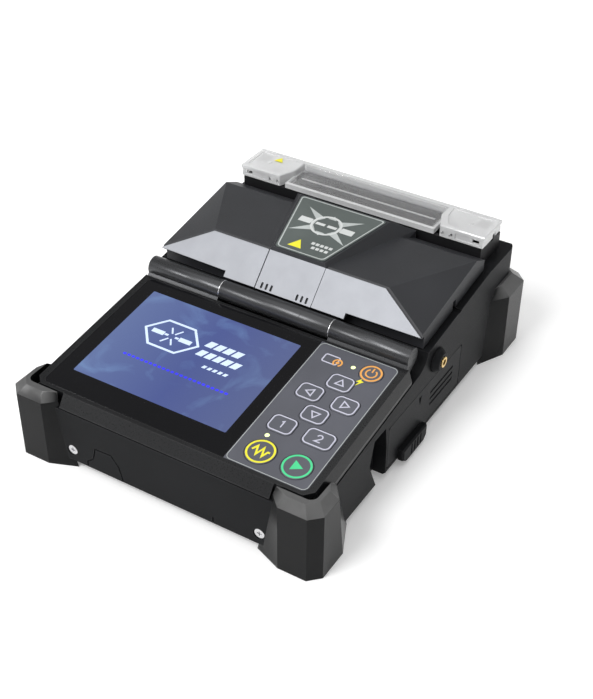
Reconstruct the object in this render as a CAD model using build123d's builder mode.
"""Handheld fibre fusion splicer, modelled piece by piece in millimetres.

Frame: origin on the ground under the middle of the case. +X is the operator's right when facing the
monitor, -Y is towards the operator, +Z is up. The rest pose has every lid closed.
"""

from build123d import *
import os
from math import atan, cos, degrees, radians, sin, tan

os.makedirs("parts", exist_ok=True)

# ---------------------------------------------------------------- driving dimensions
WIDTH = 137.0            # over the rubber corners
DEPTH = 176.6
CASE_X = 63.0            # half width of the hard case
CASE_Y = 84.8            # half depth of the hard case
CASE_BOTTOM = 2.6
CASE_SPLIT = 27.2        # parting plane of the lower and upper case
CASE_CORNER = 6.0
WALL = 2.2
FLOOR = 2.4
GAP = 0.3                # visible gap between neighbouring mouldings

PANEL_TILT = 6.5         # degrees, the monitor rises towards the back
PANEL_Z0 = 41.6          # height of the monitor's top plane above y = 0
PANEL_FRONT = -81.3
PANEL_REAR = -9.7
PANEL_X = 61.2           # half width of the monitor's top face
PANEL_FOOT_X = 62.7      # half width of the monitor at its lower edge
GLASS_T = 1.1
SHELF_T = 1.0
SEAM = [(-84.6, 27.6), (-66.0, 27.6), (-12.0, 33.9)]   # lower edge of the monitor, (y, z)

BARREL_Y, BARREL_Z = -5.2, 43.0
BARREL_R = 4.1
BARREL_SPLIT = 25.5      # the middle knuckle belongs to the base
BARREL_END = 60.3
MONITOR_PIN_R = 1.5

KEY_TRAVEL = 0.45
KEY_PROUD = 0.3

COVER_X = 60.2           # half width of the wind cover
COVER_FRONT_Z0 = 48.3    # height of the sloping front plane above y = 0
COVER_FRONT_RISE = 1.02
COVER_TOP_Z0 = 58.95
COVER_TOP_FALL = 0.045
TRIM_T = 1.0
COVER_PIN_Y, COVER_PIN_Z = 54.5, 56.5
COVER_PIN_R = 1.0

FIBRE_Y, FIBRE_Z = 30.0, 46.0
LID_PIN_Y, LID_PIN_Z = 77.5, 57.0
LID_PIN_R = 0.9
RUN_CLEARANCE = 0.05     # radial, hinge pins and lead screws

SIDES = (-1, 1)


# ---------------------------------------------------------------- shared helpers
def parting_z(y):
    """Height of the parting line between upper case and wind cover."""
    return 41.5 + 0.1132 * (y - 5.0)


def seam_z(y):
    """Height of the monitor's lower edge."""
    (y0, z0), (y1, z1), (y2, z2) = SEAM
    return z0 if y < y1 else z1 + (z2 - z1) * (y - y1) / (y2 - y1)


def panel_z(y):
    """Height of the monitor's top plane."""
    return PANEL_Z0 + y * tan(radians(PANEL_TILT))


def cover_front_z(y):
    return COVER_FRONT_Z0 + COVER_FRONT_RISE * y


def cover_top_z(y):
    return COVER_TOP_Z0 - COVER_TOP_FALL * y


def tilted_plane(height, degrees):
    """A plane through (0, 0, height) that rises towards +Y."""
    angle = radians(degrees)
    return Plane(origin=(0, 0, height), x_dir=(1, 0, 0), z_dir=(0, -sin(angle), cos(angle)))


def block(low, high, mode=Mode.ADD):
    """A box between two opposite corners."""
    with Locations([tuple((a + b) / 2 for a, b in zip(low, high))]):
        Box(*[b - a for a, b in zip(low, high)], mode=mode)


def side_prism(points, x_start, x_end, mode=Mode.ADD):
    """A straight extrusion along X of a (y, z) outline."""
    with BuildSketch(Plane.YZ.offset(x_start)) as outline:
        with BuildLine():
            Polyline(*points, close=True)
        make_face()
    extrude(outline.sketch, amount=x_end - x_start, mode=mode)


def plan_prism(points, z_start, z_end, mode=Mode.ADD):
    """A straight extrusion along Z of an (x, y) outline."""
    with BuildSketch(Plane.XY.offset(z_start)) as outline:
        with BuildLine():
            Polyline(*points, close=True)
        make_face()
    extrude(outline.sketch, amount=z_end - z_start, mode=mode)


def rod_x(x_start, x_end, y, z, radius, mode=Mode.ADD):
    """A cylinder along X."""
    with BuildSketch(Plane.YZ.offset(x_start)) as outline:
        with Locations((y, z)):
            Circle(radius)
    extrude(outline.sketch, amount=x_end - x_start, mode=mode)


def rod_y(y_start, y_end, x, z, radius, mode=Mode.ADD):
    """A cylinder along Y."""
    with BuildSketch(Plane.XZ.offset(-y_start)) as outline:
        with Locations((x, z)):
            Circle(radius)
    extrude(outline.sketch, amount=-(y_end - y_start), mode=mode)


def rod_z(z_start, z_end, x, y, radius, mode=Mode.ADD):
    """A cylinder along Z."""
    with BuildSketch(Plane.XY.offset(z_start)) as outline:
        with Locations((x, y)):
            Circle(radius)
    extrude(outline.sketch, amount=z_end - z_start, mode=mode)


def trim_by(a, b, c, inside):
    """Cuts the current part by the plane through three points, keeping the side of a fourth."""
    normal = (Vector(*b) - Vector(*a)).cross(Vector(*c) - Vector(*a))
    if normal.dot(Vector(*inside) - Vector(*a)) < 0:
        normal = normal * -1
    split(bisect_by=Plane(origin=a, z_dir=normal), keep=Keep.TOP)


def envelope(half_x, half_y, z_start, z_end, radius, mode=Mode.ADD):
    """An upright prism with rounded corners about the Z axis."""
    with BuildSketch(Plane.XY.offset(z_start)) as outline:
        RectangleRounded(2 * half_x, 2 * half_y, radius)
    extrude(outline.sketch, amount=z_end - z_start, mode=mode)


def span(side, near, far):
    """Low and high X of a stretch given by its distances from the middle."""
    return (near, far) if side > 0 else (-far, -near)


def screw_z(x, y, head_z, tip_z, head_r, shank_r, head_t):
    """A cross-head screw driven upwards from below."""
    rod_z(head_z, head_z + head_t, x, y, head_r)
    rod_z(head_z + head_t, tip_z, x, y, shank_r)
    for length, width in ((2.0, 0.5), (0.5, 2.0)):
        low = (x - length / 2, y - width / 2, head_z)
        high = (x + length / 2, y + width / 2, head_z + 0.6)
        block(low, high, Mode.SUBTRACT)


# ---------------------------------------------------------------- battery bay, ports and boards
BAY_Y = (-27.0, 35.0)
BAY_Z = (5.2, 25.0)
BATTERY_X = (-45.0, 63.0)
RECESS = [(-38.0, 29.0), (-30.0, 29.0), (-28.4, 17.0), (-27.9, 2.0), (-35.0, 2.0), (-41.5, 17.0)]
RECESS_X = 57.2

STRAP_Y, STRAP_Z = 11.0, 33.0
STRAP_HOLE_R = 1.25
STRAP_SHANK_R = 3.4
STRAP_IN_X = 59.6
STRAP_TIP_X = 66.0

FRONT_SCREW_X, FRONT_SCREW_Z = 42.4, 8.6
FRONT_SCREW_SEAT = -83.0
FLOOR_SCREWS = [(-55.0, -45.0), (55.0, -52.0), (-55.0, 52.0), (55.0, 52.0)]
FOOT_SCREW = (57.0, 77.0)

JACK_X, JACK_Z = 33.0, 15.5
USB_X, USB_Z = 14.0, 15.5
FLAP_X = (4.0, 43.0)
FLAP_Z = (6.4, 24.4)
FLAP_T = 1.8

with BuildPart() as case_blank:
    envelope(CASE_X, CASE_Y, CASE_BOTTOM, CASE_SPLIT, CASE_CORNER)
    chamfer(case_blank.faces().sort_by(Axis.Z)[0].edges(), 1.2)

with BuildPart() as lower_case:
    add(case_blank.part)
    envelope(CASE_X - WALL, CASE_Y - WALL, CASE_BOTTOM + FLOOR, CASE_SPLIT, CASE_CORNER - WALL,
             Mode.SUBTRACT)
    # walls behind the finger recess
    block((RECESS_X - 1.8, -43.0, CASE_BOTTOM + FLOOR), (CASE_X - WALL, -27.6, 25.1))
    side_prism(RECESS, RECESS_X, CASE_X + 2, Mode.SUBTRACT)
    # mouth of the battery bay
    block((CASE_X - 6, BAY_Y[0] - 0.25, BAY_Z[0] - 0.2), (CASE_X + 2, BAY_Y[1] + 0.25, BAY_Z[1] + 0.25),
          Mode.SUBTRACT)
    # bay partitions
    for y in (BAY_Y[0] - 1.6, BAY_Y[1] + 0.3):
        block((-58.0, y, CASE_BOTTOM + FLOOR), (RECESS_X - 2.0, y + 1.3, 24.8))
    # bosses for the two front screws
    for side in SIDES:
        x = side * FRONT_SCREW_X
        block((x - 4, -CASE_Y + WALL - 0.5, CASE_BOTTOM + FLOOR), (x + 4, -74.0, 14.0))
        rod_y(-CASE_Y - 1, FRONT_SCREW_SEAT, x, FRONT_SCREW_Z, 2.5, Mode.SUBTRACT)
        rod_y(FRONT_SCREW_SEAT, -75.5, x, FRONT_SCREW_Z, 1.0, Mode.SUBTRACT)
    # bosses for the screws through the floor and through the feet
    for x, y in FLOOR_SCREWS:
        rod_z(CASE_BOTTOM + FLOOR, 24.9, x, y, 3.2)
        rod_z(CASE_BOTTOM, CASE_BOTTOM + 2.0, x, y, 2.4, Mode.SUBTRACT)
        rod_z(CASE_BOTTOM + 2.0, 20.0, x, y, 1.2, Mode.SUBTRACT)
    for sx in SIDES:
        for sy in SIDES:
            rod_z(CASE_BOTTOM + FLOOR, 11.0, sx * FOOT_SCREW[0], sy * FOOT_SCREW[1], 3.2)
            rod_z(CASE_BOTTOM, 10.0, sx * FOOT_SCREW[0], sy * FOOT_SCREW[1], 1.2, Mode.SUBTRACT)
    # shallow joint lines of the stand tab on the front wall
    with BuildSketch(Plane.XZ.offset(CASE_Y)) as tab_lines:
        with BuildLine():
            Polyline((-35.2, 3.9), (-35.2, 6.4), (-32.1, 9.1), (-30.8, 14.4), (-23.3, 14.8), (-20.0, 10.4),
                     (-18.3, 3.9))
        trace(line_width=0.6)
    extrude(tab_lines.sketch, amount=-0.6, mode=Mode.SUBTRACT)
    for x, height in ((22.6, 2.8), (44.5, 1.6)):
        block((x - 0.3, -CASE_Y - 1, 3.9), (x + 0.3, -CASE_Y + 0.6, 3.9 + height), Mode.SUBTRACT)
    # cooling slots under the case and port windows in the rear wall
    for row in range(6):
        y = -70.0 + 3.4 * row
        block((-16, y, CASE_BOTTOM - 1), (16, y + 1.5, CASE_BOTTOM + FLOOR + 1), Mode.SUBTRACT)
    block((FLAP_X[0] - GAP, CASE_Y - FLAP_T - 0.2, FLAP_Z[0] - 1.6),
          (FLAP_X[1] + GAP, CASE_Y + 1, FLAP_Z[1] + GAP), Mode.SUBTRACT)
    block((FLAP_X[0] - 3, CASE_Y - FLAP_T - 2.4, FLAP_Z[0] - 1.4),
          (FLAP_X[1] + 3, CASE_Y - FLAP_T - 0.2, FLAP_Z[1] + 3))
    block((JACK_X - 4.5, CASE_Y - 6, JACK_Z - 6.0), (JACK_X + 4.5, CASE_Y + 1, JACK_Z + 5.5),
          Mode.SUBTRACT)
    block((USB_X - 4.6, CASE_Y - 6, USB_Z - 2.4), (USB_X + 4.6, CASE_Y + 1, USB_Z + 2.4), Mode.SUBTRACT)
    # board posts
    for x, y in ((-50, 44), (-50, 74), (44, 44), (48, 76), (-48, -72), (-48, -38), (46, -38), (36, -72)):
        rod_z(CASE_BOTTOM + FLOOR, 8.0, x, y, 2.6)

# ---------------------------------------------------------------- upper case
CHAMBER_X = 57.0
CHAMBER_Y = (5.0, 55.0)
CHAMBER_FLOOR = 34.0
REAR_TOP = 47.3
GAP_R = 8.4              # clearance sweep round the monitor's barrel

with BuildPart() as upper_case:
    with BuildSketch(Plane.YZ.offset(-CASE_X)) as case_profile:
        with BuildLine():
            arc_start = (BARREL_Y, BARREL_Z - GAP_R)
            arc_mid = (BARREL_Y + GAP_R * sin(radians(45)), BARREL_Z - GAP_R * cos(radians(45)))
            arc_end = (BARREL_Y + GAP_R * cos(radians(13)), BARREL_Z - GAP_R * sin(radians(13)))
            Polyline(arc_start, (-12.0, SEAM[2][1] - GAP), (-66.0, CASE_SPLIT + 0.05), (-66.0, CASE_SPLIT),
                     (CASE_Y, CASE_SPLIT), (CASE_Y, REAR_TOP - 2), (CASE_Y - 2, REAR_TOP), (57.0, REAR_TOP),
                     (arc_end[0], parting_z(arc_end[0])), arc_end)
            ThreePointArc(arc_start, arc_mid, arc_end)
        make_face()
    extrude(case_profile.sketch, amount=2 * CASE_X)
    # the deck under the monitor, let into the lower case
    plan_prism([(-60.6, -78.4), (-56.6, -82.4), (56.6, -82.4), (60.6, -78.4), (60.6, -46.0),
                (-60.6, -46.0)], CASE_SPLIT - 2.0, CASE_SPLIT)
    # underside
    side_prism([(-46.0, CASE_SPLIT - 3), (-46.0, CASE_SPLIT), (-12.0, 31.4), (57.5, 31.9),
                (57.5, REAR_TOP - 2.2), (CASE_Y - WALL - 1, REAR_TOP - 2.2), (CASE_Y - WALL, REAR_TOP - 4),
                (CASE_Y - WALL, CASE_SPLIT - 3)], -CASE_X + WALL, CASE_X - WALL, Mode.SUBTRACT)
    # splicing chamber, with its optical window and fibre entries
    block((-CHAMBER_X, CHAMBER_Y[0], CHAMBER_FLOOR), (CHAMBER_X, CHAMBER_Y[1], 60), Mode.SUBTRACT)
    block((-9, 14, 30), (9, 46, 35), Mode.SUBTRACT)
    for side in SIDES:
        low_x, high_x = span(side, CHAMBER_X - 1, CASE_X + 1)
        block((low_x, FIBRE_Y - 1.25, 43.8), (high_x, FIBRE_Y + 1.25, 50), Mode.SUBTRACT)
        low_x, high_x = span(side, STRAP_IN_X, CASE_X + 1)
        rod_x(low_x, high_x, STRAP_Y, STRAP_Z, STRAP_SHANK_R, Mode.SUBTRACT)
    # finger slots beside the deck
    for side in SIDES:
        low_x, high_x = span(side, 30, 46)
        block((low_x, -78, CASE_SPLIT - 0.9), (high_x, -74, CASE_SPLIT + 1), Mode.SUBTRACT)
    envelope(CASE_X, CASE_Y, 0, 80, CASE_CORNER, Mode.INTERSECT)

# ---------------------------------------------------------------- rubber corner bumpers and their screws
CORNER_CUT = 4.4


def bumper(sx, sy, top, inset, side_y, flank_y):
    """One corner bumper as a ruled loft of three outlines, with a foot that laps under the case."""
    outer_x = WIDTH / 2
    outer_y = DEPTH / 2
    shoulder = top - inset
    low = [(41.0, 83.8), (52.3, outer_y), (outer_x - CORNER_CUT, outer_y), (outer_x, outer_y - CORNER_CUT),
           (outer_x, side_y[0]), (62.2, flank_y[0]), (54.0, 74.0)]
    mid = [(47.5, 83.8), (52.3, outer_y), (outer_x - CORNER_CUT, outer_y), (outer_x, outer_y - CORNER_CUT),
           (outer_x, side_y[1]), (62.2, flank_y[1]), (54.0, 76.0)]
    cut = CORNER_CUT - inset * tan(radians(22.5)) * 0.5
    high = [(48.5, 82.6), (53.9, outer_y - inset), (outer_x - inset - cut, outer_y - inset),
            (outer_x - inset, outer_y - inset - cut), (outer_x - inset, side_y[1] + 1.0),
            (62.8, flank_y[1] + 4.0), (54.0, 76.0)]
    sections = []
    for points, z in ((low, 0.0), (mid, shoulder), (high, top)):
        with BuildSketch(Plane.XY.offset(z)) as outline:
            with BuildLine():
                Polyline(*[(sx * x, sy * y) for x, y in points], close=True)
            make_face()
        sections.append(outline.sketch.face())
    with BuildPart() as piece:
        loft(sections[:2], ruled=True)
        loft(sections[1:], ruled=True)
        add(case_blank.part, mode=Mode.SUBTRACT)
        if sy < 0:
            envelope(CASE_X + 0.4, CASE_Y - 2.4, CASE_SPLIT, 60, 3.0, Mode.SUBTRACT)
        else:
            envelope(CASE_X, CASE_Y, CASE_SPLIT, 60, CASE_CORNER, Mode.SUBTRACT)
        rod_z(-1, 1.3, sx * FOOT_SCREW[0], sy * FOOT_SCREW[1], 2.4, Mode.SUBTRACT)
        rod_z(1.2, 9, sx * FOOT_SCREW[0], sy * FOOT_SCREW[1], 1.2, Mode.SUBTRACT)
    return piece


FRONT_BUMPER = (33.0, 3.4, (69.8, 73.9), (56.0, 65.5))
REAR_BUMPER = (35.0, 4.4, (69.5, 68.7), (57.0, 60.5))
front_left_bumper = bumper(-1, -1, *FRONT_BUMPER)
front_right_bumper = bumper(1, -1, *FRONT_BUMPER)
rear_left_bumper = bumper(-1, 1, *REAR_BUMPER)
rear_right_bumper = bumper(1, 1, *REAR_BUMPER)

with BuildPart() as bumper_screws:
    for sx in SIDES:
        for sy in SIDES:
            screw_z(sx * FOOT_SCREW[0], sy * FOOT_SCREW[1], 0.4, 9.5, 2.2, 1.2, 0.9)

with BuildPart() as case_screws:
    for x, y in FLOOR_SCREWS:
        screw_z(x, y, CASE_BOTTOM + 1.0, 18.0, 2.2, 1.2, 1.0)
    for side in SIDES:
        x = side * FRONT_SCREW_X
        rod_y(FRONT_SCREW_SEAT - 1.4, FRONT_SCREW_SEAT, x, FRONT_SCREW_Z, 2.1)
        rod_y(FRONT_SCREW_SEAT, -76.5, x, FRONT_SCREW_Z, 1.0)
        for length, width in ((2.0, 0.5), (0.5, 2.0)):
            low = (x - length / 2, FRONT_SCREW_SEAT - 1.5, FRONT_SCREW_Z - width / 2)
            high = (x + length / 2, FRONT_SCREW_SEAT - 0.8, FRONT_SCREW_Z + width / 2)
            block(low, high, Mode.SUBTRACT)

# ---------------------------------------------------------------- strap posts with threaded brass inserts
with BuildPart() as strap_posts:
    for side in SIDES:
        with BuildSketch(Plane.YZ.offset(side * CASE_X)) as post_foot:
            with Locations((STRAP_Y, STRAP_Z)):
                Circle(5.4)
        extrude(post_foot.sketch, amount=side * (STRAP_TIP_X - CASE_X), taper=28)
        low_x, high_x = span(side, STRAP_IN_X + 0.1, CASE_X)
        rod_x(low_x, high_x, STRAP_Y, STRAP_Z, STRAP_SHANK_R)
        low_x, high_x = span(side, STRAP_IN_X, STRAP_TIP_X + 1)
        rod_x(low_x, high_x, STRAP_Y, STRAP_Z, 2.2, Mode.SUBTRACT)

with BuildPart() as strap_post_inserts:
    for side in SIDES:
        low_x, high_x = span(side, STRAP_IN_X + 0.2, STRAP_TIP_X + 0.4)
        rod_x(low_x, high_x, STRAP_Y, STRAP_Z, 2.2)
        low_x, high_x = span(side, STRAP_IN_X + 1.2, STRAP_TIP_X + 2)
        rod_x(low_x, high_x, STRAP_Y, STRAP_Z, STRAP_HOLE_R, Mode.SUBTRACT)

# ---------------------------------------------------------------- boards, sockets and battery
with BuildPart() as main_board:
    block((-54, -76, 8.0), (54, -32, 9.6))
    block((-34, -60, 9.6), (-14, -40, 11.4))
    block((2, -52, 9.6), (16, -38, 11.0))
    for x in (20, 28, 36):
        block((x, -70, 9.6), (x + 5, -56, 11.0))
    rod_z(9.6, 17.0, -44, -52, 3.4)
    rod_z(9.6, 17.0, -44, -62, 3.4)
    rod_z(7.9, 9.7, 54, -52, 5.0, Mode.SUBTRACT)
    rod_z(7.9, 9.7, -54, -45, 5.0, Mode.SUBTRACT)
    for side in SIDES:
        block((side * FRONT_SCREW_X - 5, -77, 7.5), (side * FRONT_SCREW_X + 5, -73, 10), Mode.SUBTRACT)

with BuildPart() as power_board:
    block((-54, 40, 8.0), (50, 79, 9.6))
    rod_z(9.6, 21.0, 4, 52, 5.0)
    rod_z(9.6, 21.0, 16, 52, 5.0)
    block((28, 46, 9.6), (44, 60, 16.0))
    for x in (-54, 54):
        rod_z(7.9, 9.7, x, 52, 5.0, Mode.SUBTRACT)
    for x in (-57, 57):
        rod_z(7.9, 9.7, x, 77, 6.0, Mode.SUBTRACT)

with BuildPart() as arc_transformer:
    block((-46, 46, 9.7), (-18, 68, 22.0))
    fillet(arc_transformer.edges().filter_by(Axis.Z), 1.5)
    rod_y(68, 76, -39, 17, 2.4)
    rod_y(68, 76, -25, 17, 2.4)

with BuildPart() as power_jack:
    block((JACK_X - 4.4, 70.5, 9.7), (JACK_X + 4.4, CASE_Y - FLAP_T - 0.5, JACK_Z + 5.4))
    rod_y(74.0, CASE_Y, JACK_X, JACK_Z, 3.2, Mode.SUBTRACT)
    rod_y(73.5, CASE_Y - FLAP_T - 1.0, JACK_X, JACK_Z, 1.0)

with BuildPart() as usb_socket:
    block((USB_X - 4.5, 74.0, 9.7), (USB_X + 4.5, CASE_Y - FLAP_T - 4.5, USB_Z + 2.3))
    block((USB_X - 4.5, 74.0, USB_Z - 2.3), (USB_X + 4.5, CASE_Y - FLAP_T - 0.5, USB_Z + 2.3))
    block((USB_X - 4.0, 77.0, USB_Z - 1.8), (USB_X + 4.0, CASE_Y, USB_Z + 1.8), Mode.SUBTRACT)
    block((USB_X - 2.8, 76.5, USB_Z - 0.4), (USB_X + 2.8, CASE_Y - FLAP_T - 1.2, USB_Z + 0.4))

with BuildPart() as battery_terminals:
    block((-57.5, -8, CASE_BOTTOM + FLOOR), (-47.5, 18, 20.0))
    for y in (-4, 4, 12):
        block((-47.5, y - 1.5, 9), (-45.3, y + 1.5, 17))

with BuildPart() as battery_pack:
    block((BATTERY_X[0], BAY_Y[0], BAY_Z[0]), (BATTERY_X[1], BAY_Y[1], BAY_Z[1]))
    fillet(battery_pack.edges().filter_by(Axis.X), 1.5)
    # slot of the latch, arrow mark and finger relief on the end face
    block((CASE_X - 3, -16, 3.6 + 2), (CASE_X + 1, -2, 8.4), Mode.SUBTRACT)
    side_prism([(-2.3, 22.4), (0.1, 22.4), (-1.1, 18.4)], CASE_X - 0.8, CASE_X + 1, Mode.SUBTRACT)
    for z in (12.0, 15.0, 18.0):
        block((CASE_X - 0.5, 8, z), (CASE_X + 1, 28, z + 1.2), Mode.SUBTRACT)
    # contact slots at the inner end
    for y in (-4, 4, 12):
        block((BATTERY_X[0] - 1, y - 2, 8.5), (BATTERY_X[0] + 1.2, y + 2, 17.5), Mode.SUBTRACT)

with BuildPart() as battery_latch:
    side_prism([(-18.5, 3.6), (-15.5, 1.4), (-1.0, 1.4), (1.5, 3.6), (1.5, 8.6), (-18.5, 8.6)],
               CASE_X + 0.2, CASE_X + 2.8)
    chamfer(battery_latch.faces().sort_by(Axis.X)[-1].edges(), 0.6)
    for y in (-12, -9.5, -7, -4.5):
        block((CASE_X + 2.2, y, 2.6), (CASE_X + 4, y + 1.0, 7.6), Mode.SUBTRACT)
    block((CASE_X - 2.8, -15.8, 5.9), (CASE_X + 0.3, -7.0, 8.1))

with BuildPart() as port_cover:
    block((FLAP_X[0], CASE_Y - FLAP_T, FLAP_Z[0]), (FLAP_X[1], CASE_Y, FLAP_Z[1]))
    rod_x(FLAP_X[0], FLAP_X[1], CASE_Y - FLAP_T / 2, FLAP_Z[0], FLAP_T / 2)
    block((18, CASE_Y - 0.1, FLAP_Z[1] - 2.5), (29, CASE_Y + 1.0, FLAP_Z[1] - 1.0))
    fillet(port_cover.edges().filter_by(Axis.Y).group_by(Axis.Z)[-1], 1.5)

# ---------------------------------------------------------------- monitor
DISPLAY_X = (-58.2, 24.1)
KEYPAD_X = (24.3, 58.3)
OVERLAY_Y = (-79.4, -11.0)
WINDOW_X = (-52.4, 19.1)
WINDOW_Y = (-70.0, -16.2)
BEZEL_TRIM = 4.6

panel_plane = tilted_plane(PANEL_Z0, PANEL_TILT)


def along(y):
    """Distance up the monitor's slope of a point at depth y."""
    return y / cos(radians(PANEL_TILT))


def panel_box(x_range, y_range, top, bottom, mode=Mode.ADD, radius=0.0):
    """A slab parallel to the monitor's face, between two depths under it."""
    with BuildSketch(panel_plane.offset(bottom)) as outline:
        width = x_range[1] - x_range[0]
        height = along(y_range[1]) - along(y_range[0])
        with Locations((sum(x_range) / 2, (along(y_range[0]) + along(y_range[1])) / 2)):
            if radius > 0:
                RectangleRounded(width, height, radius)
            else:
                Rectangle(width, height)
    extrude(outline.sketch, amount=top - bottom, mode=mode)


# name: (x, y, width, height); round keys have their diameter twice
KEYS = {
    "key_power": (49.8, -18.2, 9.3, 9.3),
    "key_up": (42.1, -27.9, 10.3, 8.4),
    "key_left": (34.5, -37.2, 10.3, 8.4),
    "key_right": (49.5, -37.3, 10.3, 8.4),
    "key_down": (42.1, -46.5, 10.3, 8.4),
    "key_f1": (34.4, -56.2, 10.6, 8.6),
    "key_f2": (49.7, -56.1, 12.0, 8.6),
    "key_heat": (34.6, -71.0, 11.8, 11.8),
    "key_start": (49.6, -71.0, 11.8, 11.8),
}
ROUND_KEYS = ("key_power", "key_heat", "key_start")


def key_outline(name, grow=0.0):
    """The plan of one key on the current sketch, grown all round by a clearance."""
    x, y, width, height = KEYS[name]
    with Locations((x, along(y))):
        if name in ROUND_KEYS:
            Circle(width / 2 + grow)
        else:
            RectangleRounded(width + 2 * grow, height + 2 * grow, 2.6 + grow)


def key_holes(top, bottom, grow):
    for name in KEYS:
        with BuildSketch(panel_plane.offset(bottom)) as hole:
            key_outline(name, grow)
        extrude(hole.sketch, amount=top - bottom, mode=Mode.SUBTRACT)


with BuildPart() as monitor_bezel:
    side_prism([*SEAM, (PANEL_REAR, seam_z(PANEL_REAR)), (PANEL_REAR, panel_z(PANEL_REAR)),
                (PANEL_FRONT, panel_z(PANEL_FRONT))], -PANEL_FOOT_X, PANEL_FOOT_X)
    for side in SIDES:
        trim_by((side * PANEL_X, -81, panel_z(-81)), (side * PANEL_X, -10, panel_z(-10)),
                (side * PANEL_FOOT_X, -81, seam_z(-81)), (0, -40, 30))
        # the front corners stand back from the bumpers
        low_x, high_x = span(side, 46.6, 70.0)
        block((low_x, -90, 20), (high_x, -81.0, 40), Mode.SUBTRACT)
        trim_by((side * (PANEL_FOOT_X - BEZEL_TRIM), -81, 0), (side * PANEL_FOOT_X, -81 + BEZEL_TRIM, 0),
                (side * PANEL_FOOT_X, -81 + BEZEL_TRIM, 10), (0, -40, 30))
    # hinge knuckles
    for side in SIDES:
        low_x, high_x = span(side, BARREL_SPLIT + 0.15, BARREL_END)
        rod_x(low_x, high_x, BARREL_Y, BARREL_Z, BARREL_R)
        side_prism([(-12.5, seam_z(-12.5)), (-9.6, 34.3), (-4.2, 39.1), (-5.2, 43.0), (-9.1, 41.6),
                    (-9.9, panel_z(-9.9)), (-12.5, panel_z(-12.5))], low_x, high_x)
    # hollow underside
    inner = GLASS_T + SHELF_T
    side_prism([(-79.2, 20), (-79.2, panel_z(-79.2) - inner), (-11.4, panel_z(-11.4) - inner), (-11.4, 20)],
               -PANEL_X + 0.4, PANEL_X - 0.4, Mode.SUBTRACT)
    # recess of the glass and the keypad film, window and key holes
    panel_box((DISPLAY_X[0] - 0.1, KEYPAD_X[1] + 0.1), (OVERLAY_Y[0] - 0.1, OVERLAY_Y[1] + 0.1),
              1, -GLASS_T, Mode.SUBTRACT, 2.6)
    panel_box(WINDOW_X, WINDOW_Y, 1, -10, Mode.SUBTRACT)
    key_holes(1, -inner - 0.1, 0.2)
    for side in SIDES:
        low_x, high_x = span(side, BARREL_SPLIT - 1, 41)
        rod_x(low_x, high_x, BARREL_Y, BARREL_Z, MONITOR_PIN_R + RUN_CLEARANCE, Mode.SUBTRACT)

with BuildPart() as monitor_back_shell:
    side_prism([(-79.0, SEAM[0][1]), SEAM[1], (-11.6, seam_z(-11.6)), (-11.6, seam_z(-11.6) + 0.9),
                (SEAM[1][0], SEAM[1][1] + 0.9), (-79.0, SEAM[0][1] + 0.9)], -PANEL_X + 0.6, PANEL_X - 0.6)
    for row in range(4):
        block((-20, -32 + 4 * row, 20), (20, -30.4 + 4 * row, 40), Mode.SUBTRACT)
    for side in SIDES:
        for y in (-72, -18):
            rod_z(20, 40, side * 56.5, y, 1.0, Mode.SUBTRACT)

with BuildPart() as display_glass:
    panel_box(DISPLAY_X, OVERLAY_Y, 0, -GLASS_T, Mode.ADD, 2.5)
    panel_box((DISPLAY_X[1] - 4, DISPLAY_X[1]), OVERLAY_Y, 0, -GLASS_T)

with BuildPart() as keypad_overlay:
    panel_box(KEYPAD_X, OVERLAY_Y, 0, -GLASS_T, Mode.ADD, 2.5)
    panel_box((KEYPAD_X[0], KEYPAD_X[0] + 4), OVERLAY_Y, 0, -GLASS_T)
    key_holes(1, -GLASS_T - 1, 0.2)

with BuildPart() as lcd_module:
    panel_box((-55.4, 22.1), (-75.0, -11.9), -inner - 0.1, -inner - 2.3)
    panel_box((-30.0, -4.0), (-40.0, -20.0), -inner - 2.3, -inner - 2.6)

with BuildPart() as keypad_board:
    panel_box((25.5, 57.0), (-75.0, -13.0), -3.7, -4.5)
    for x, y, *_ in KEYS.values():
        with BuildSketch(panel_plane.offset(-3.7)) as dome:
            with Locations((x, along(y))):
                Circle(2.6)
        extrude(dome.sketch, amount=0.3)

STATUS_LIGHTS = [(42.0, -18.1), (32.2, -63.0)]
LIGHT_R = 0.9
LIGHT_BASE = -3.4


def light_rods(radius, length, mode=Mode.ADD):
    """Rods square to the monitor's face at both status lights."""
    for x, y in STATUS_LIGHTS:
        with BuildSketch(panel_plane.offset(LIGHT_BASE)) as light:
            with Locations((x, along(y))):
                Circle(radius)
        extrude(light.sketch, amount=length, mode=mode)


with BuildPart() as status_lights:
    light_rods(LIGHT_R, 3.3)

for piece in (monitor_bezel, keypad_overlay):
    with piece:
        light_rods(LIGHT_R + RUN_CLEARANCE, 5.0, Mode.SUBTRACT)


def key_cap(name):
    """A key: its cap through film and shelf, a retaining flange and a plunger above its dome."""
    x, y, *_ = KEYS[name]
    under_shelf = -inner - 0.05
    with BuildPart() as piece:
        with BuildSketch(panel_plane.offset(under_shelf)) as cap:
            key_outline(name)
        extrude(cap.sketch, amount=KEY_PROUD - under_shelf)
        chamfer(piece.faces().sort_by(Axis.Z)[-1].edges(), 0.25)
        with BuildSketch(panel_plane.offset(under_shelf - 0.5)) as flange:
            key_outline(name, 0.6)
        extrude(flange.sketch, amount=0.5)
        with BuildSketch(panel_plane.offset(under_shelf - 0.75)) as plunger:
            with Locations((x, along(y))):
                Circle(1.6)
        extrude(plunger.sketch, amount=0.3)
    return piece


keys = {name: key_cap(name) for name in KEYS}

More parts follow.
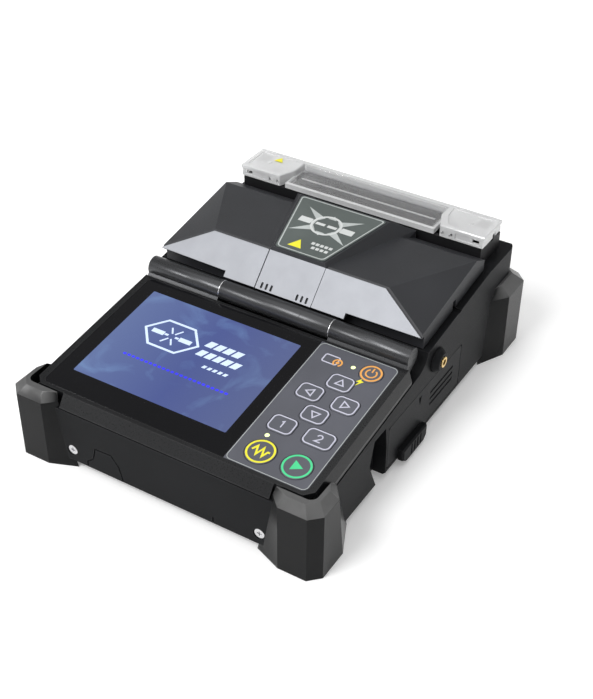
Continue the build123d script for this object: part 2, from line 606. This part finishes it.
# ---------------------------------------------------------------- monitor hinge, fixed half
with BuildPart() as hinge_barrel:
    rod_x(-BARREL_SPLIT + 0.15, BARREL_SPLIT - 0.15, BARREL_Y, BARREL_Z, BARREL_R)
    side_prism([(BARREL_Y, 40.0), (-3.0, 36.6), (2.5, 36.6), (2.5, 43.4), (BARREL_Y, 44.5)], -24.6, 24.6)
    add(upper_case.part, mode=Mode.SUBTRACT)
    for side in SIDES:
        low_x, high_x = span(side, 14, BARREL_SPLIT + 1)
        rod_x(low_x, high_x, BARREL_Y, BARREL_Z, MONITOR_PIN_R, Mode.SUBTRACT)

COVER_EAR_X = (17.9, 22.1)
COVER_PIN_X = (14.5, 25.5)
LID_KNUCKLE_X = (40.0, 44.0)
LID_EAR_X = (44.3, 48.3)
LID_KNUCKLE_R = 2.2

with BuildPart() as hinge_pins:
    for side in SIDES:
        low_x, high_x = span(side, 14.2, 40.5)
        rod_x(low_x, high_x, BARREL_Y, BARREL_Z, MONITOR_PIN_R)
        low_x, high_x = span(side, *COVER_PIN_X)
        rod_x(low_x, high_x, COVER_PIN_Y, COVER_PIN_Z, COVER_PIN_R)
        low_x, high_x = span(side, LID_KNUCKLE_X[0], LID_EAR_X[1])
        rod_x(low_x, high_x, LID_PIN_Y, LID_PIN_Z, LID_PIN_R)

# ---------------------------------------------------------------- heater
HOUSING_X = 57.5
HOUSING_Y = (58.8, 74.5)
HOUSING_TOP = 56.0
TROUGH_X = 33.0
TROUGH_Y = (66.2, 73.4)
TROUGH_TOP = 57.6
TROUGH_FLOOR = 52.2

with BuildPart() as heater_housing:
    block((-HOUSING_X, HOUSING_Y[0], REAR_TOP), (HOUSING_X, HOUSING_Y[1], HOUSING_TOP))
    block((-HOUSING_X, HOUSING_Y[1], REAR_TOP), (HOUSING_X, 80.0, 54.2))
    for side in SIDES:
        low_x, high_x = span(side, *COVER_EAR_X)
        rod_x(low_x, high_x, COVER_PIN_Y, COVER_PIN_Z, 2.2)
        side_prism([(COVER_PIN_Y, 54.3), (59.0, 53.4), (59.0, 55.8), (56.3, 57.4)], low_x, high_x)
        low_x, high_x = span(side, *LID_KNUCKLE_X)
        rod_x(low_x, high_x, LID_PIN_Y, LID_PIN_Z, LID_KNUCKLE_R)
        block((low_x, LID_PIN_Y - 2.2, 53), (high_x, LID_PIN_Y + 2.2, LID_PIN_Z))
    # seat of the trough and of the ceramic element
    block((-TROUGH_X - 0.1, TROUGH_Y[0] - 0.1, 50.0), (TROUGH_X + 0.1, TROUGH_Y[1] + 0.1, 60),
          Mode.SUBTRACT)
    block((-31, 67.2, 48.2), (31, 72.4, 51), Mode.SUBTRACT)
    # fibre channels at both ends
    for side in SIDES:
        low_x, high_x = span(side, TROUGH_X - 1, HOUSING_X + 1)
        block((low_x, 68.6, 54.4), (high_x, 71.0, 60), Mode.SUBTRACT)
        low_x, high_x = span(side, 36, 55)
        block((low_x, 60.6, 54.6), (high_x, 65.2, 60), Mode.SUBTRACT)
    for side in SIDES:
        low_x, high_x = span(side, COVER_EAR_X[0] - 1, COVER_EAR_X[1] + 1)
        rod_x(low_x, high_x, COVER_PIN_Y, COVER_PIN_Z, COVER_PIN_R, Mode.SUBTRACT)
        low_x, high_x = span(side, LID_KNUCKLE_X[0] - 1, LID_KNUCKLE_X[1] + 1)
        rod_x(low_x, high_x, LID_PIN_Y, LID_PIN_Z, LID_PIN_R, Mode.SUBTRACT)
    chamfer(heater_housing.edges().filter_by(Axis.Z).group_by(Axis.Y)[-1], 2.0)

with BuildPart() as heater_trough:
    block((-TROUGH_X, TROUGH_Y[0], 50.1), (TROUGH_X, TROUGH_Y[1], TROUGH_TOP))
    block((-TROUGH_X - 1, TROUGH_Y[0] + 1.2, TROUGH_FLOOR), (TROUGH_X + 1, TROUGH_Y[1] - 1.2, 60),
          Mode.SUBTRACT)

with BuildPart() as heater_element:
    block((-30.5, 67.4, 48.4), (30.5, 72.2, 49.9))

# ---------------------------------------------------------------- heater lid
LID_X = 58.6
LID_Y = (58.5, 76.0)
LID_Z = (56.4, 61.6)
LID_T = 1.4
LID_MIDDLE_TOP = 58.7    # the clear pane over the trough lies lower than the two ends
LID_PANE_T = 0.8
LID_STEP_Y = 73.2        # step up from the pane to the rear rim
LID_END = [(38.7, 58.5), (LID_X, 58.5), (LID_X, 76.0), (34.6, 76.0), (35.2, 67.0)]
LID_END_HOLLOW = [(40.2, 59.9), (57.2, 59.9), (57.2, 74.6), (36.1, 74.6), (36.7, 67.2)]
LID_END_PANEL = [(41.2, 60.9), (56.4, 60.9), (56.4, 73.6), (37.6, 73.6), (38.1, 67.5)]
FRONT_SLOTS = [
    [(39.0, 57.5), (40.7, 57.6), (40.2, 59.4)],
    [(42.6, 57.4), (44.5, 57.4), (44.3, 59.6)],
    [(53.2, 57.5), (56.2, 57.5), (56.2, 59.2), (53.2, 59.2)],
]


def mirrored(points, side):
    """A plan outline on the right or on the left."""
    return [(side * x, y) for x, y in points]


with BuildPart() as heater_lid:
    block((-36.0, LID_Y[0], LID_Z[0]), (36.0, LID_STEP_Y, LID_MIDDLE_TOP))
    block((-36.0, LID_STEP_Y, LID_Z[0]), (36.0, LID_Y[1], LID_Z[1]))
    for side in SIDES:
        plan_prism(mirrored(LID_END, side), LID_Z[0], LID_Z[1])
    chamfer(heater_lid.faces().sort_by(Axis.Z)[-1].edges(), 0.4)
    # hollow under the pane, under the rear rim and inside the ends
    block((-34.2, LID_Y[0] + LID_T, LID_Z[0] - 1),
          (34.2, LID_STEP_Y + 1.0, LID_MIDDLE_TOP - LID_PANE_T), Mode.SUBTRACT)
    block((-34.2, LID_STEP_Y + 1.0, LID_Z[0] - 1), (34.2, LID_Y[1] - LID_T, LID_Z[1] - 1.2),
          Mode.SUBTRACT)
    for side in SIDES:
        plan_prism(mirrored(LID_END_HOLLOW, side), LID_Z[0] - 1, LID_Z[1] - LID_T, Mode.SUBTRACT)
        plan_prism(mirrored(LID_END_PANEL, side), LID_Z[1] - 0.4, LID_Z[1] + 1, Mode.SUBTRACT)
        rod_z(LID_Z[1] - 0.5, LID_Z[1] - 0.1, side * 49.1, 66.7, 1.0)
        # walls under the overhanging end rims, and fibre passages
        low_x, high_x = span(side, LID_X - 0.5, LID_X + 1)
        block((low_x, LID_Y[0] - 1, LID_Z[0] - 1), (high_x, LID_Y[1] + 1, LID_Z[1] - 1.6), Mode.SUBTRACT)
        low_x, high_x = span(side, LID_X - LID_T - 1, LID_X + 1)
        block((low_x, 68.4, LID_Z[0] - 1), (high_x, 71.2, 58.2), Mode.SUBTRACT)
        low_x, high_x = span(side, 33.5, 38)
        block((low_x, 65.6, LID_Z[0] - 1), (high_x, 74.0, LID_MIDDLE_TOP - LID_PANE_T), Mode.SUBTRACT)
        # shallow panel and slots of the front wall
        low_x, high_x = span(side, 45.6, 57.0)
        block((low_x, LID_Y[0] - 1, 57.2), (high_x, LID_Y[0] + 0.4, 59.9), Mode.SUBTRACT)
        for slot in FRONT_SLOTS:
            with BuildSketch(Plane.XZ.offset(-LID_Y[0] + 1)) as slot_outline:
                with BuildLine():
                    Polyline(*mirrored(slot, side), close=True)
                make_face()
            extrude(slot_outline.sketch, amount=-(LID_T + 1.5), mode=Mode.SUBTRACT)
        # hinge ear, and room for the housing's knuckle
        low_x, high_x = span(side, LID_KNUCKLE_X[0] - 0.4, LID_EAR_X[1] + 0.2)
        block((low_x, LID_PIN_Y - 2.7, LID_Z[0] - 1), (high_x, LID_PIN_Y + 3, 59.8), Mode.SUBTRACT)
        low_x, high_x = span(side, *LID_EAR_X)
        rod_x(low_x, high_x, LID_PIN_Y, LID_PIN_Z, LID_KNUCKLE_R)
        side_prism([(LID_PIN_Y - 2.0, 57.9), (LID_PIN_Y + 1.2, 58.8), (76.0, 60.4), (74.4, 60.4)],
                   low_x, high_x)
        low_x, high_x = span(side, LID_EAR_X[0] - 1, LID_EAR_X[1] + 1)
        rod_x(low_x, high_x, LID_PIN_Y, LID_PIN_Z, LID_PIN_R + RUN_CLEARANCE, Mode.SUBTRACT)

with BuildPart() as heater_lid_clamps:
    for side in SIDES:
        low_x, high_x = span(side, 50.5, 56.0)
        block((low_x, 66.5, 56.6), (high_x, 73.0, LID_Z[1] - LID_T))
        low_x, high_x = span(side, 41.0, 45.0)
        block((low_x, 61.0, 57.2), (high_x, 64.6, LID_Z[1] - LID_T))

# ---------------------------------------------------------------- wind cover
APEX = (39.7, 10.0)          # outer end of the front plane's top edge, (x, y)
TRIM_FOOT = (60.5, 0.4)      # outer foot of the silver side trim
RIDGE_REAR = (59.9, 48.5)    # where side facet and rear bevel meet
NOTCH_X = 28.0
NOTCH_Y = 0.1
LIP_Y = -1.65
REAR_BEVEL = (48.5, 57.0, 52.8)   # y start, y end, z end
SEAM_FRONT = (13.0, 10.2)
SEAM_REAR = (28.7, 57.2)


def cover_volume(inset, half_x, y_rear, z_low):
    """The wind cover's outer solid, or its hollow when inset."""
    slope_in = inset / sin(atan(COVER_FRONT_RISE))
    front = [(NOTCH_Y + TRIM_T * 1.4 + slope_in, cover_front_z(NOTCH_Y)),
             (APEX[1] + TRIM_T * 1.4 + slope_in, cover_top_z(APEX[1] + TRIM_T * 1.4 + slope_in) - inset)]
    bevel_y, _, bevel_z = REAR_BEVEL
    rear = [(bevel_y - inset * 0.3, cover_top_z(bevel_y) - inset), (y_rear, bevel_z - inset)]
    with BuildPart() as piece:
        side_prism([(3.7 + inset, z_low if inset else parting_z(3.7) + 0.3),
                    (3.7 + inset, 47.4 - inset * 0.5)]
                   + ([(NOTCH_Y + 1.6, 47.4)] if not inset else []) + front + rear
                   + [(y_rear, z_low if inset else parting_z(y_rear) + 0.55)], -half_x, half_x)
        for side in SIDES:
            drop = inset * 1.1
            trim_by((side * APEX[0], APEX[1], cover_top_z(APEX[1]) - drop),
                    (side * TRIM_FOOT[0], TRIM_FOOT[1], cover_front_z(TRIM_FOOT[1]) - drop),
                    (side * RIDGE_REAR[0], RIDGE_REAR[1], cover_top_z(RIDGE_REAR[1]) - drop), (0, 30, 40))
    return piece


cover_outside = cover_volume(0.0, COVER_X, REAR_BEVEL[1], 0)
cover_hollow = cover_volume(2.0, COVER_X - 2.0, REAR_BEVEL[1] - 2.0, 30.0)


def hinge_slots():
    """Room in the cover for the two fixed hinge ears through its whole swing."""
    for side in SIDES:
        low_x, high_x = span(side, COVER_EAR_X[0] - 0.3, COVER_EAR_X[1] + 0.3)
        block((low_x, COVER_PIN_Y - 2.8, 52.7), (high_x, 62, 66), Mode.SUBTRACT)


with BuildPart() as wind_cover_shell:
    add(cover_outside.part)
    add(cover_hollow.part, mode=Mode.SUBTRACT)
    for side in SIDES:
        low_x, high_x = span(side, COVER_X - 3, COVER_X + 1)
        block((low_x, FIBRE_Y - 1.25, 30), (high_x, FIBRE_Y + 1.25, 48.7), Mode.SUBTRACT)
    # support of the centre trim's lower lip
    side_prism([(LIP_Y + TRIM_T * 1.4, cover_front_z(LIP_Y)),
                (NOTCH_Y + TRIM_T * 1.4, cover_front_z(NOTCH_Y)), (5.0, cover_front_z(NOTCH_Y)),
                (3.7, 47.4), (1.2, 46.65)], -NOTCH_X, NOTCH_X)
    hinge_slots()

with BuildPart() as cover_spine:
    low = [(x, y, cover_top_z(y) - 0.4) for x, y in (SEAM_FRONT, SEAM_REAR)]
    edge = [(x, y, cover_top_z(y) + 0.05) for x, y in (SEAM_FRONT, SEAM_REAR)]
    crown = [(12.0, 10.7, 59.95), (21.3, 47.9, 62.85)]
    foot = [(SEAM_REAR[0], SEAM_REAR[1], 51.0), (SEAM_REAR[0] - 1.5, 48.0, 53.0)]
    half = low + edge + crown + foot
    ConvexPolyhedron(half + [(-x, y, z) for x, y, z in half])
    add(cover_outside.part, mode=Mode.SUBTRACT)
    hinge_slots()
    for side in SIDES:
        low_x, high_x = span(side, COVER_PIN_X[0] - 0.3, COVER_PIN_X[1] + 0.3)
        rod_x(low_x, high_x, COVER_PIN_Y, COVER_PIN_Z, COVER_PIN_R + RUN_CLEARANCE, Mode.SUBTRACT)

SPINE_RISE = (62.85 - 59.95) / (47.9 - 10.7)
spine_plane = tilted_plane(59.95 - 10.7 * SPINE_RISE, degrees(atan(SPINE_RISE)))

with BuildPart() as cover_nameplate:
    with BuildSketch(spine_plane) as plate:
        with BuildLine():
            Polyline((-11.2, 11.2), (11.2, 11.2), (20.4, 47.2), (-20.4, 47.2), close=True)
        make_face()
        fillet(plate.vertices(), 1.4)
    extrude(amount=0.3)

COVER_FRONT_ANGLE = degrees(atan(COVER_FRONT_RISE))
front_plane = tilted_plane(COVER_FRONT_Z0, COVER_FRONT_ANGLE)


def down_front(y):
    """Distance along the sloping front of a point at depth y."""
    return y / cos(radians(COVER_FRONT_ANGLE))


def side_trim(side):
    """Silver plate on one half of the sloping front."""
    outline = [(SEAM_FRONT[0] + 0.2, LIP_Y), (NOTCH_X, LIP_Y), (NOTCH_X, NOTCH_Y), TRIM_FOOT, APEX,
               (SEAM_FRONT[0] + 0.2, APEX[1])]
    with BuildPart() as piece:
        with BuildSketch(front_plane) as plate:
            with BuildLine():
                Polyline(*[(side * x, down_front(y)) for x, y in outline], close=True)
            make_face()
        extrude(plate.sketch, amount=-TRIM_T)
        add(wind_cover_shell.part, mode=Mode.SUBTRACT)
        add(cover_spine.part, mode=Mode.SUBTRACT)
        trim_by((side * APEX[0], APEX[1], cover_top_z(APEX[1])),
                (side * TRIM_FOOT[0], TRIM_FOOT[1], cover_front_z(TRIM_FOOT[1])),
                (side * RIDGE_REAR[0], RIDGE_REAR[1], cover_top_z(RIDGE_REAR[1])), (0, 30, 40))
    return piece


left_trim = side_trim(-1)
right_trim = side_trim(1)

with BuildPart() as centre_trim:
    with BuildSketch(front_plane.offset(-0.25)) as centre_plate:
        with BuildLine():
            Polyline((-12.9, down_front(LIP_Y)), (12.9, down_front(LIP_Y)), (12.9, down_front(APEX[1])),
                     (-12.9, down_front(APEX[1])), close=True)
        make_face()
        for side in SIDES:
            for x in (6.0, 8.2, 10.4):
                with Locations((side * x, down_front(LIP_Y) + 1.9)):
                    RectangleRounded(1.0, 2.6, 0.4, mode=Mode.SUBTRACT)
    extrude(centre_plate.sketch, amount=-TRIM_T + 0.25)
    add(wind_cover_shell.part, mode=Mode.SUBTRACT)
    add(cover_spine.part, mode=Mode.SUBTRACT)

with BuildPart() as fibre_clamp_arms:
    for side in SIDES:
        low_x, high_x = span(side, 3.4, 7.4)
        block((low_x, 28.2, 49.0), (high_x, 31.8, 57.0))
        low_x, high_x = span(side, 3.8, 7.0)
        block((low_x, 29.0, FIBRE_Z + 0.3), (high_x, 31.0, 49.0))
    add(wind_cover_shell.part, mode=Mode.SUBTRACT)

# ---------------------------------------------------------------- splicing stage
with BuildPart() as splice_stage:
    block((-20, 12, CHAMBER_FLOOR), (20, 48, 41.0))
    block((-7, 22, 33), (7, 38, 42), Mode.SUBTRACT)
    block((-7, 15.2, 33), (7, 44.8, 38.4), Mode.SUBTRACT)
    for y in (13.5, 38.5):
        block((-5, y, 41.0), (5, y + 8, FIBRE_Z - 1.0))
    for side in SIDES:
        low_x, high_x = span(side, 7.0, 9.0)
        block((low_x, 26.6, 41.0), (high_x, 33.4, 43.0))
        low_x, high_x = span(side, 5.2, 7.0)
        block((low_x, 26.8, 38.4), (high_x, 33.2, 40.0))
        for y in (15, 45):
            rod_z(38, 42, side * 15, y, 1.6, Mode.SUBTRACT)

with BuildPart() as v_groove_chip:
    block((-6.9, 26.8, 40.0), (6.9, 33.2, 45.9))
    block((-1.9, 26, 43.0), (1.9, 34, 47), Mode.SUBTRACT)
    side_prism([(FIBRE_Y - 0.5, 46.5), (FIBRE_Y + 0.5, 46.5), (FIBRE_Y, 45.5)], -8, 8, Mode.SUBTRACT)
    block((-5.0, 28.4, 39), (5.0, 31.6, 42.0), Mode.SUBTRACT)

with BuildPart() as electrodes:
    for tip, root in ((FIBRE_Y - 1.2, 13.0), (FIBRE_Y + 1.2, 47.0)):
        shoulder = tip + (2.6 if root > tip else -2.6)
        low_y, high_y = sorted((shoulder, root))
        rod_y(low_y, high_y, 0, FIBRE_Z, 1.0)
        with BuildSketch(Plane.XZ.offset(-shoulder)) as cone_foot:
            with Locations((0, FIBRE_Z)):
                Circle(1.0)
        extrude(cone_foot.sketch, amount=(shoulder - tip), taper=19)

with BuildPart() as electrode_caps:
    for y in (14.2, 39.2):
        block((-4.6, y, FIBRE_Z - 0.9), (4.6, y + 6.6, FIBRE_Z + 2.4))
        rod_y(y - 1, y + 8, 0, FIBRE_Z, 1.0, Mode.SUBTRACT)
        block((-1.0, y - 1, FIBRE_Z - 2), (1.0, y + 8, FIBRE_Z), Mode.SUBTRACT)
        for side in SIDES:
            rod_z(FIBRE_Z + 2.4, FIBRE_Z + 3.2, side * 3.0, y + 3.3, 1.3)

with BuildPart() as objective_lenses:
    for direction in SIDES:
        axis_plane = Plane(origin=(0, FIBRE_Y + direction * 3.2, 38.6), x_dir=(1, 0, 0),
                           z_dir=(0, direction, -1))
        for radius, start, length in ((2.4, 0.0, 2.0), (3.2, 2.0, 6.5), (3.8, 8.5, 1.8)):
            with BuildSketch(axis_plane.offset(start)) as barrel:
                Circle(radius)
            extrude(barrel.sketch, amount=length)

# ---------------------------------------------------------------- feed drives, carriages and sheath clamps
CARRIAGE_X = (27.5, 48.0)
CARRIAGE_Y = (18.0, 42.0)
SCREW_Y, SCREW_Z = 12.0, 38.6
SCREW_R = 1.0
CLAMP_PIN_Y, CLAMP_PIN_Z = 40.5, 47.0

with BuildPart() as feed_motors:
    for side in SIDES:
        low_x, high_x = span(side, 45.5, 56.8)
        block((low_x, 7.4, CHAMBER_FLOOR), (high_x, 16.6, 43.2))
with BuildPart() as lead_screws:
    for side in SIDES:
        low_x, high_x = span(side, 24.0, 45.5)
        rod_x(low_x, high_x, SCREW_Y, SCREW_Z, SCREW_R)


def carriage(side):
    """Fibre carriage: a V-grooved block with a nut ear round the lead screw and a clamp hinge fork."""
    low_x, high_x = span(side, *CARRIAGE_X)
    with BuildPart() as piece:
        block((low_x, CARRIAGE_Y[0], CHAMBER_FLOOR + 0.3), (high_x, CARRIAGE_Y[1], 44.6))
        block((low_x, 27, 44.6), (high_x, 33, FIBRE_Z - 0.2))
        side_prism([(FIBRE_Y - 0.9, 46.4), (FIBRE_Y + 0.9, 46.4), (FIBRE_Y, 45.0)],
                   low_x - 1, high_x + 1, Mode.SUBTRACT)
        ear_x = span(side, 29.0, 34.0)
        block((ear_x[0], 9.4, 35.6), (ear_x[1], CARRIAGE_Y[0], 41.4))
        rod_x(ear_x[0] - 1, ear_x[1] + 1, SCREW_Y, SCREW_Z, SCREW_R + RUN_CLEARANCE, Mode.SUBTRACT)
        for near, far in ((29.0, 31.0), (44.5, 46.5)):
            fork = span(side, near, far)
            block((fork[0], CLAMP_PIN_Y - 1.5, 44.6), (fork[1], CLAMP_PIN_Y + 1.5, CLAMP_PIN_Z))
            rod_x(fork[0], fork[1], CLAMP_PIN_Y, CLAMP_PIN_Z, 1.5)
            rod_x(fork[0] - 0.5, fork[1] + 0.5, CLAMP_PIN_Y, CLAMP_PIN_Z, 0.75, Mode.SUBTRACT)
        pin_x = span(side, 29.0, 46.5)
        rod_x(pin_x[0], pin_x[1], CLAMP_PIN_Y, CLAMP_PIN_Z, 0.75)
    return piece


def sheath_clamp(side):
    """Clamp lid: a flap with a pressure pad, hinged on the carriage's pin."""
    low_x, high_x = span(side, 31.3, 44.2)
    with BuildPart() as piece:
        rod_x(low_x, high_x, CLAMP_PIN_Y, CLAMP_PIN_Z, 1.5)
        block((low_x, 20.0, 46.3), (high_x, CLAMP_PIN_Y, 48.5))
        block((low_x + 2, 26.5, FIBRE_Z + 0.05), (high_x - 2, 33.5, 46.4))
        block((low_x + 3, 18.6, 47.2), (high_x - 3, 20.0, 48.5))
        rod_x(low_x - 1, high_x + 1, CLAMP_PIN_Y, CLAMP_PIN_Z, 0.75 + RUN_CLEARANCE, Mode.SUBTRACT)
    return piece


left_fibre_carriage = carriage(-1)
right_fibre_carriage = carriage(1)
left_sheath_clamp = sheath_clamp(-1)
right_sheath_clamp = sheath_clamp(1)

# ---------------------------------------------------------------- export
PIECES = {
    "lower_case": lower_case,
    "upper_case": upper_case,
    "front_left_bumper": front_left_bumper,
    "front_right_bumper": front_right_bumper,
    "rear_left_bumper": rear_left_bumper,
    "rear_right_bumper": rear_right_bumper,
    "bumper_screws": bumper_screws,
    "case_screws": case_screws,
    "strap_posts": strap_posts,
    "strap_post_inserts": strap_post_inserts,
    "main_board": main_board,
    "power_board": power_board,
    "arc_transformer": arc_transformer,
    "power_jack": power_jack,
    "usb_socket": usb_socket,
    "battery_terminals": battery_terminals,
    "battery_pack": battery_pack,
    "battery_latch": battery_latch,
    "port_cover": port_cover,
    "monitor_bezel": monitor_bezel,
    "monitor_back_shell": monitor_back_shell,
    "display_glass": display_glass,
    "keypad_overlay": keypad_overlay,
    "lcd_module": lcd_module,
    "keypad_board": keypad_board,
    "status_lights": status_lights,
    "hinge_barrel": hinge_barrel,
    "hinge_pins": hinge_pins,
    "heater_housing": heater_housing,
    "heater_trough": heater_trough,
    "heater_element": heater_element,
    "heater_lid": heater_lid,
    "heater_lid_clamps": heater_lid_clamps,
    "wind_cover_shell": wind_cover_shell,
    "cover_spine": cover_spine,
    "cover_nameplate": cover_nameplate,
    "left_trim": left_trim,
    "right_trim": right_trim,
    "centre_trim": centre_trim,
    "fibre_clamp_arms": fibre_clamp_arms,
    "splice_stage": splice_stage,
    "v_groove_chip": v_groove_chip,
    "electrodes": electrodes,
    "electrode_caps": electrode_caps,
    "objective_lenses": objective_lenses,
    "feed_motors": feed_motors,
    "lead_screws": lead_screws,
    "left_fibre_carriage": left_fibre_carriage,
    "right_fibre_carriage": right_fibre_carriage,
    "left_sheath_clamp": left_sheath_clamp,
    "right_sheath_clamp": right_sheath_clamp,
}
PIECES.update(keys)

for name, piece in PIECES.items():
    piece.part.label = name
    export_step(piece.part, f"parts/{name}.step")
